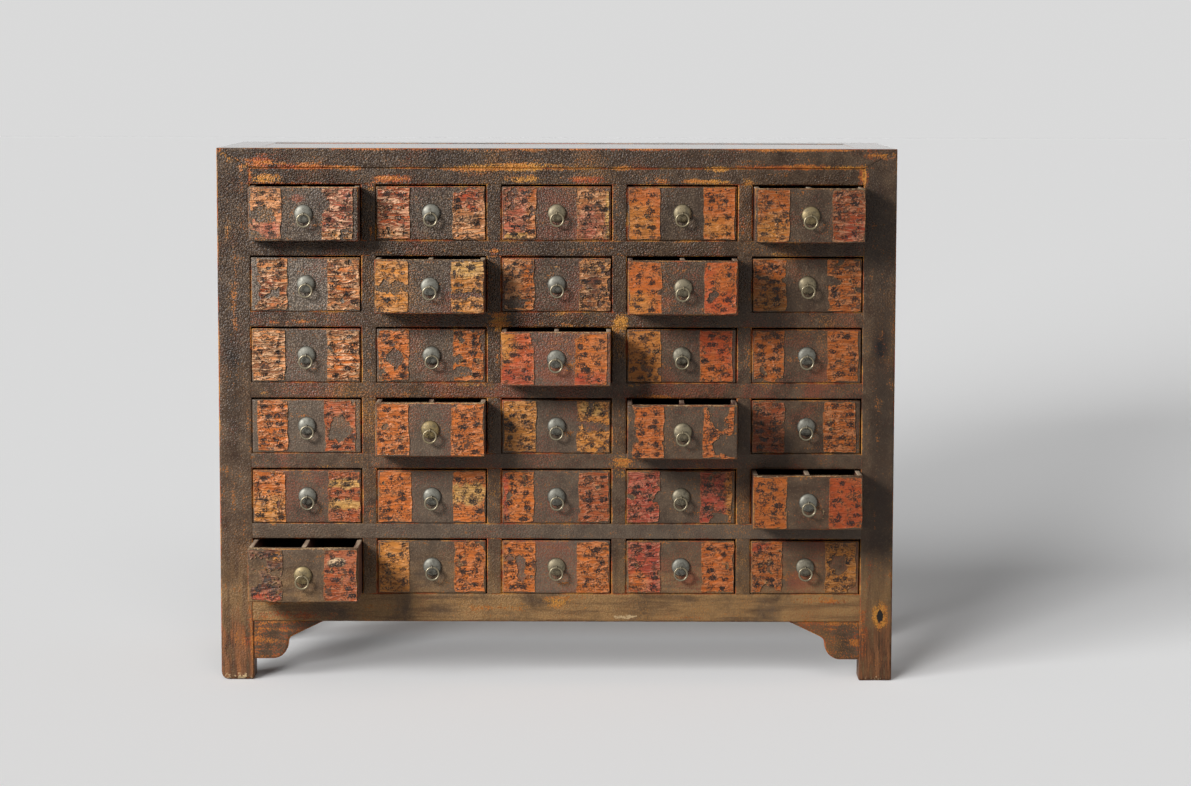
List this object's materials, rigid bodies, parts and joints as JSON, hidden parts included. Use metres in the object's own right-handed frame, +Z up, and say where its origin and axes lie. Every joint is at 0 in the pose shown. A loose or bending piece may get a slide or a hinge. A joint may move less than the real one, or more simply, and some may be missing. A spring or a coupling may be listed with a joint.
{
  "type": "apothecary chest",
  "caption": "Tall-legged wooden apothecary chest with a grid of divided drawers, domed bosses and ring pulls, a mitred frame top and shaped foot brackets.",
  "frame": {"origin": "middle of the bounding box on the floor, with the open drawers and their pulls in the box", "axes": "+X to the right of someone facing the chest, +Y from its front to its back, +Z up; drawers open towards -Y"},
  "size_m": [1.201, 0.5354, 0.9518],
  "materials": {
    "case_lacquer": "dark brown textured lacquer, worn to the wood at edges and feet",
    "drawer_lacquer": "dark brown lacquer with orange paper labels on the front",
    "bare_wood": "bare aged wood",
    "aged_brass": "tarnished, worn bright where it is handled"
  },
  "bodies": {
    "carcase": {"post_front_left": "case_lacquer", "post_front_right": "case_lacquer", "post_back_left": "case_lacquer", "post_back_right": "case_lacquer", "top": "case_lacquer", "side_panel_left": "case_lacquer", "side_panel_right": "case_lacquer", "back_panel": "bare_wood", "upper_rail": "case_lacquer", "drawer_rail_1": "case_lacquer", "drawer_rail_2": "case_lacquer", "drawer_rail_3": "case_lacquer", "drawer_rail_4": "case_lacquer", "drawer_rail_5": "case_lacquer", "bottom_rail": "case_lacquer", "bracket_left": "case_lacquer", "bracket_right": "case_lacquer", "partition_1": "case_lacquer", "partition_2": "case_lacquer", "partition_3": "case_lacquer", "partition_4": "case_lacquer"},
    "drawer_r1_c1": {"drawer_r1_c1": "drawer_lacquer"},
    "ring_r1_c1": {"ring_r1_c1": "aged_brass"},
    "drawer_r1_c2": {"drawer_r1_c2": "drawer_lacquer"},
    "drawer_r1_c3": {"drawer_r1_c3": "drawer_lacquer"},
    "drawer_r1_c4": {"drawer_r1_c4": "drawer_lacquer"},
    "drawer_r1_c5": {"drawer_r1_c5": "drawer_lacquer"},
    "ring_r1_c5": {"ring_r1_c5": "aged_brass"},
    "drawer_r2_c1": {"drawer_r2_c1": "drawer_lacquer"},
    "drawer_r2_c2": {"drawer_r2_c2": "drawer_lacquer"},
    "ring_r2_c2": {"ring_r2_c2": "aged_brass"},
    "drawer_r2_c3": {"drawer_r2_c3": "drawer_lacquer"},
    "drawer_r2_c4": {"drawer_r2_c4": "drawer_lacquer"},
    "ring_r2_c4": {"ring_r2_c4": "aged_brass"},
    "drawer_r2_c5": {"drawer_r2_c5": "drawer_lacquer"},
    "drawer_r3_c1": {"drawer_r3_c1": "drawer_lacquer"},
    "drawer_r3_c2": {"drawer_r3_c2": "drawer_lacquer"},
    "drawer_r3_c3": {"drawer_r3_c3": "drawer_lacquer"},
    "ring_r3_c3": {"ring_r3_c3": "aged_brass"},
    "drawer_r3_c4": {"drawer_r3_c4": "drawer_lacquer"},
    "drawer_r3_c5": {"drawer_r3_c5": "drawer_lacquer"},
    "drawer_r4_c1": {"drawer_r4_c1": "drawer_lacquer"},
    "drawer_r4_c2": {"drawer_r4_c2": "drawer_lacquer"},
    "ring_r4_c2": {"ring_r4_c2": "aged_brass"},
    "drawer_r4_c3": {"drawer_r4_c3": "drawer_lacquer"},
    "drawer_r4_c4": {"drawer_r4_c4": "drawer_lacquer"},
    "ring_r4_c4": {"ring_r4_c4": "aged_brass"},
    "drawer_r4_c5": {"drawer_r4_c5": "drawer_lacquer"},
    "drawer_r5_c1": {"drawer_r5_c1": "drawer_lacquer"},
    "drawer_r5_c2": {"drawer_r5_c2": "drawer_lacquer"},
    "drawer_r5_c3": {"drawer_r5_c3": "drawer_lacquer"},
    "drawer_r5_c4": {"drawer_r5_c4": "drawer_lacquer"},
    "drawer_r5_c5": {"drawer_r5_c5": "drawer_lacquer"},
    "ring_r5_c5": {"ring_r5_c5": "aged_brass"},
    "drawer_r6_c1": {"drawer_r6_c1": "drawer_lacquer"},
    "ring_r6_c1": {"ring_r6_c1": "aged_brass"},
    "drawer_r6_c2": {"drawer_r6_c2": "drawer_lacquer"},
    "drawer_r6_c3": {"drawer_r6_c3": "drawer_lacquer"},
    "drawer_r6_c4": {"drawer_r6_c4": "drawer_lacquer"},
    "drawer_r6_c5": {"drawer_r6_c5": "drawer_lacquer"}
  },
  "joints": [
    {"name": "drawer_r1_c1_slide", "type": "slide", "parent": "carcase", "child": "drawer_r1_c1", "axis": [0, -1, 0], "range_m": [-0.04, 0.24]},
    {"name": "drawer_r1_c5_slide", "type": "slide", "parent": "carcase", "child": "drawer_r1_c5", "axis": [0, -1, 0], "range_m": [-0.07, 0.21]},
    {"name": "drawer_r2_c2_slide", "type": "slide", "parent": "carcase", "child": "drawer_r2_c2", "axis": [0, -1, 0], "range_m": [-0.055, 0.225]},
    {"name": "drawer_r2_c4_slide", "type": "slide", "parent": "carcase", "child": "drawer_r2_c4", "axis": [0, -1, 0], "range_m": [-0.075, 0.205]},
    {"name": "drawer_r3_c3_slide", "type": "slide", "parent": "carcase", "child": "drawer_r3_c3", "axis": [0, -1, 0], "range_m": [-0.065, 0.215]},
    {"name": "drawer_r4_c2_slide", "type": "slide", "parent": "carcase", "child": "drawer_r4_c2", "axis": [0, -1, 0], "range_m": [-0.055, 0.225]},
    {"name": "drawer_r4_c4_slide", "type": "slide", "parent": "carcase", "child": "drawer_r4_c4", "axis": [0, -1, 0], "range_m": [-0.085, 0.195]},
    {"name": "drawer_r5_c5_slide", "type": "slide", "parent": "carcase", "child": "drawer_r5_c5", "axis": [0, -1, 0], "range_m": [-0.07, 0.21]},
    {"name": "drawer_r6_c1_slide", "type": "slide", "parent": "carcase", "child": "drawer_r6_c1", "axis": [0, -1, 0], "range_m": [-0.1, 0.18]},
    {"name": "ring_r1_c1_swing", "type": "hinge", "parent": "drawer_r1_c1", "child": "ring_r1_c1", "pos_m": [-0.444, -0.20349, 0.83735], "axis": [-1, 0, 0], "range_deg": [-24, 150]},
    {"name": "ring_r1_c5_swing", "type": "hinge", "parent": "drawer_r1_c5", "child": "ring_r1_c5", "pos_m": [0.444, -0.23349, 0.83735], "axis": [-1, 0, 0], "range_deg": [-24, 150]},
    {"name": "ring_r2_c2_swing", "type": "hinge", "parent": "drawer_r2_c2", "child": "ring_r2_c2", "pos_m": [-0.222, -0.21849, 0.71105], "axis": [-1, 0, 0], "range_deg": [-24, 150]},
    {"name": "ring_r2_c4_swing", "type": "hinge", "parent": "drawer_r2_c4", "child": "ring_r2_c4", "pos_m": [0.222, -0.23849, 0.71105], "axis": [-1, 0, 0], "range_deg": [-24, 150]},
    {"name": "ring_r3_c3_swing", "type": "hinge", "parent": "drawer_r3_c3", "child": "ring_r3_c3", "pos_m": [0, -0.22849, 0.58475], "axis": [-1, 0, 0], "range_deg": [-24, 150]},
    {"name": "ring_r4_c2_swing", "type": "hinge", "parent": "drawer_r4_c2", "child": "ring_r4_c2", "pos_m": [-0.222, -0.21849, 0.45845], "axis": [-1, 0, 0], "range_deg": [-24, 150]},
    {"name": "ring_r4_c4_swing", "type": "hinge", "parent": "drawer_r4_c4", "child": "ring_r4_c4", "pos_m": [0.222, -0.24849, 0.45845], "axis": [-1, 0, 0], "range_deg": [-24, 150]},
    {"name": "ring_r5_c5_swing", "type": "hinge", "parent": "drawer_r5_c5", "child": "ring_r5_c5", "pos_m": [0.444, -0.23349, 0.33215], "axis": [-1, 0, 0], "range_deg": [-24, 150]},
    {"name": "ring_r6_c1_swing", "type": "hinge", "parent": "drawer_r6_c1", "child": "ring_r6_c1", "pos_m": [-0.444, -0.26349, 0.20585], "axis": [-1, 0, 0], "range_deg": [-24, 150]},
    {"name": "drawer_r1_c2_slide", "type": "slide", "parent": "carcase", "child": "drawer_r1_c2", "axis": [0, -1, 0], "range_m": [0, 0.28]},
    {"name": "drawer_r1_c3_slide", "type": "slide", "parent": "carcase", "child": "drawer_r1_c3", "axis": [0, -1, 0], "range_m": [0, 0.28]},
    {"name": "drawer_r1_c4_slide", "type": "slide", "parent": "carcase", "child": "drawer_r1_c4", "axis": [0, -1, 0], "range_m": [0, 0.28]},
    {"name": "drawer_r2_c1_slide", "type": "slide", "parent": "carcase", "child": "drawer_r2_c1", "axis": [0, -1, 0], "range_m": [0, 0.28]},
    {"name": "drawer_r2_c3_slide", "type": "slide", "parent": "carcase", "child": "drawer_r2_c3", "axis": [0, -1, 0], "range_m": [0, 0.28]},
    {"name": "drawer_r2_c5_slide", "type": "slide", "parent": "carcase", "child": "drawer_r2_c5", "axis": [0, -1, 0], "range_m": [0, 0.28]},
    {"name": "drawer_r3_c1_slide", "type": "slide", "parent": "carcase", "child": "drawer_r3_c1", "axis": [0, -1, 0], "range_m": [0, 0.28]},
    {"name": "drawer_r3_c2_slide", "type": "slide", "parent": "carcase", "child": "drawer_r3_c2", "axis": [0, -1, 0], "range_m": [0, 0.28]},
    {"name": "drawer_r3_c4_slide", "type": "slide", "parent": "carcase", "child": "drawer_r3_c4", "axis": [0, -1, 0], "range_m": [0, 0.28]},
    {"name": "drawer_r3_c5_slide", "type": "slide", "parent": "carcase", "child": "drawer_r3_c5", "axis": [0, -1, 0], "range_m": [0, 0.28]},
    {"name": "drawer_r4_c1_slide", "type": "slide", "parent": "carcase", "child": "drawer_r4_c1", "axis": [0, -1, 0], "range_m": [0, 0.28]},
    {"name": "drawer_r4_c3_slide", "type": "slide", "parent": "carcase", "child": "drawer_r4_c3", "axis": [0, -1, 0], "range_m": [0, 0.28]},
    {"name": "drawer_r4_c5_slide", "type": "slide", "parent": "carcase", "child": "drawer_r4_c5", "axis": [0, -1, 0], "range_m": [0, 0.28]},
    {"name": "drawer_r5_c1_slide", "type": "slide", "parent": "carcase", "child": "drawer_r5_c1", "axis": [0, -1, 0], "range_m": [0, 0.28]},
    {"name": "drawer_r5_c2_slide", "type": "slide", "parent": "carcase", "child": "drawer_r5_c2", "axis": [0, -1, 0], "range_m": [0, 0.28]},
    {"name": "drawer_r5_c3_slide", "type": "slide", "parent": "carcase", "child": "drawer_r5_c3", "axis": [0, -1, 0], "range_m": [0, 0.28]},
    {"name": "drawer_r5_c4_slide", "type": "slide", "parent": "carcase", "child": "drawer_r5_c4", "axis": [0, -1, 0], "range_m": [0, 0.28]},
    {"name": "drawer_r6_c2_slide", "type": "slide", "parent": "carcase", "child": "drawer_r6_c2", "axis": [0, -1, 0], "range_m": [0, 0.28]},
    {"name": "drawer_r6_c3_slide", "type": "slide", "parent": "carcase", "child": "drawer_r6_c3", "axis": [0, -1, 0], "range_m": [0, 0.28]},
    {"name": "drawer_r6_c4_slide", "type": "slide", "parent": "carcase", "child": "drawer_r6_c4", "axis": [0, -1, 0], "range_m": [0, 0.28]},
    {"name": "drawer_r6_c5_slide", "type": "slide", "parent": "carcase", "child": "drawer_r6_c5", "axis": [0, -1, 0], "range_m": [0, 0.28]}
  ]
}
